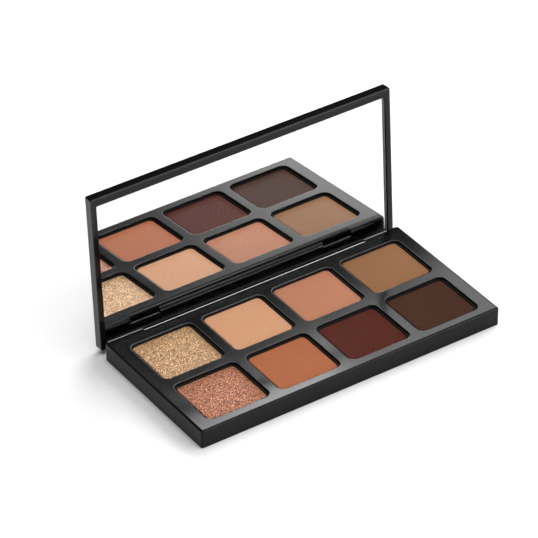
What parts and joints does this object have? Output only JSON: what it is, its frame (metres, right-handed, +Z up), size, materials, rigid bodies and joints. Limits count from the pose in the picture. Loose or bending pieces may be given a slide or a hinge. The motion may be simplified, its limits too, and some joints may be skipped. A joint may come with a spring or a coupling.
{
  "type": "eyeshadow palette",
  "caption": "Slim black makeup compact, shown open: rounded square pressed powders in a flush deck under a hinged lid with a full mirror.",
  "frame": {"origin": "centre of the base's underside", "axes": "+X to the right along the front edge, +Y from the front edge to the hinge, +Z up out of the deck"},
  "size_m": [0.13, 0.0738, 0.0657],
  "materials": {
    "case_plastic": "satin black",
    "deck_plastic": "soft satin black",
    "lid_plastic": "polished black",
    "mirror": "silvered",
    "pan_metal": "satin pressed",
    "pin_steel": "drawn wire",
    "magnet": "nickel plated",
    "adhesive": "foam tape",
    "powder_1": "pressed powder, gold shimmer",
    "powder_2": "pressed powder, peach matte",
    "powder_3": "pressed powder, clay matte",
    "powder_4": "pressed powder, tan matte",
    "powder_5": "pressed powder, rose copper shimmer",
    "powder_6": "pressed powder, burnt orange matte",
    "powder_7": "pressed powder, burgundy matte",
    "powder_8": "pressed powder, dark brown matte"
  },
  "bodies": {
    "base": {"base_shell": "case_plastic", "deck_plate": "deck_plastic", "pad_1": "adhesive", "pan_1": "pan_metal", "powder_1_gold_shimmer": "powder_1", "pad_2": "adhesive", "pan_2": "pan_metal", "powder_2_peach_matte": "powder_2", "pad_3": "adhesive", "pan_3": "pan_metal", "powder_3_clay_matte": "powder_3", "pad_4": "adhesive", "pan_4": "pan_metal", "powder_4_tan_matte": "powder_4", "pad_5": "adhesive", "pan_5": "pan_metal", "powder_5_rose_copper_shimmer": "powder_5", "pad_6": "adhesive", "pan_6": "pan_metal", "powder_6_burnt_orange_matte": "powder_6", "pad_7": "adhesive", "pan_7": "pan_metal", "powder_7_burgundy_matte": "powder_7", "pad_8": "adhesive", "pan_8": "pan_metal", "powder_8_dark_brown_matte": "powder_8", "base_magnet_left": "magnet", "hinge_pin_left": "pin_steel", "base_magnet_right": "magnet", "hinge_pin_right": "pin_steel"},
    "lid": {"lid_shell": "lid_plastic", "mirror_tray": "lid_plastic", "mirror_tape": "adhesive", "mirror_glass": "mirror", "lid_magnet_left": "magnet", "lid_magnet_right": "magnet"}
  },
  "joints": [
    {"name": "lid_hinge", "type": "hinge", "parent": "base", "child": "lid", "pos_m": [0, 0.03027, 0.00385], "axis": [1, 0, 0], "range_deg": [-8, 93.45]}
  ]
}
